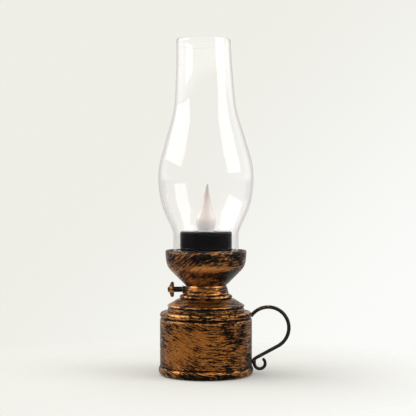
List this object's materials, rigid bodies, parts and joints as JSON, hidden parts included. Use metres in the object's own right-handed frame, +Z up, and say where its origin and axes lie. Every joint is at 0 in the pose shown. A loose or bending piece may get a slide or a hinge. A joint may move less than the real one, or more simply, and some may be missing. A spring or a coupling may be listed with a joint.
{
  "type": "oil-lamp-style candle lamp",
  "caption": "Table lamp shaped like an old oil lamp: bronze drum with wire handle, dome, neck with knob, cup, clear glass chimney and battery candle with a flame diffuser.",
  "frame": {"origin": "centre of the felt pad's underside, on the lamp's vertical axis, where the lamp rests on a table", "axes": "+Z up along the lamp's axis, +X towards the wire handle, -X towards the knob, -Y is the front"},
  "size_m": [0.0973, 0.0698, 0.2459],
  "materials": {
    "bronze_paint": "bronze dry-brushed over black, rubbed bright on the edges",
    "black_wire": "satin black, with bronze rubbed on in spots",
    "clear_glass": "clear, fire-polished",
    "black_plastic": "gloss black",
    "flame_plastic": "frosted, translucent warm white",
    "zinc_steel": "zinc plated",
    "spring_steel": "bright, nickel plated",
    "felt": "black pressed felt",
    "board_green": "green circuit board",
    "clear_resin": "water-clear epoxy"
  },
  "bodies": {
    "lamp_body": {"base_pad": "felt", "base_plate": "zinc_steel", "font_shell": "bronze_paint", "font_dome": "bronze_paint", "collar_ring": "bronze_paint", "neck_sleeve": "bronze_paint", "gallery_cup": "bronze_paint", "gallery_tray": "bronze_paint", "tie_bolt": "zinc_steel", "tie_washer": "zinc_steel", "tie_nut": "zinc_steel", "handle": "black_wire", "stem_bush": "black_wire"},
    "knob": {"knob_stem": "black_wire", "stem_clip": "spring_steel", "knob_wheel": "bronze_paint", "knob_rivet": "bronze_paint"},
    "glass_chimney": {"chimney": "clear_glass"},
    "candle": {"candle_case": "black_plastic", "candle_flame": "flame_plastic", "candle_base": "black_plastic", "candle_screw_1": "zinc_steel", "candle_screw_2": "zinc_steel", "coin_cell": "zinc_steel", "contact_negative": "spring_steel", "contact_positive": "spring_steel", "circuit_board": "board_green", "candle_led": "clear_resin", "switch_body": "black_plastic"},
    "door": {"battery_door": "black_plastic"},
    "switch": {"switch_slider": "black_plastic"}
  },
  "joints": [
    {"name": "knob_turn", "type": "hinge", "parent": "lamp_body", "child": "knob", "pos_m": [-0.0155, 0, 0.0624], "axis": [-1, 0, 0], "continuous": true},
    {"name": "chimney_lift", "type": "slide", "parent": "lamp_body", "child": "glass_chimney", "axis": [0, 0, 1], "range_m": [0, 0.06]},
    {"name": "candle_lift", "type": "slide", "parent": "lamp_body", "child": "candle", "axis": [0, 0, 1], "range_m": [0, 0.03]},
    {"name": "battery_door_turn", "type": "hinge", "parent": "candle", "child": "door", "pos_m": [-0.0036, 0, 0.092], "axis": [0, 0, -1], "range_deg": [0, 30]},
    {"name": "switch_slide", "type": "slide", "parent": "candle", "child": "switch", "axis": [0, 1, 0], "range_m": [0, 0.002]}
  ]
}
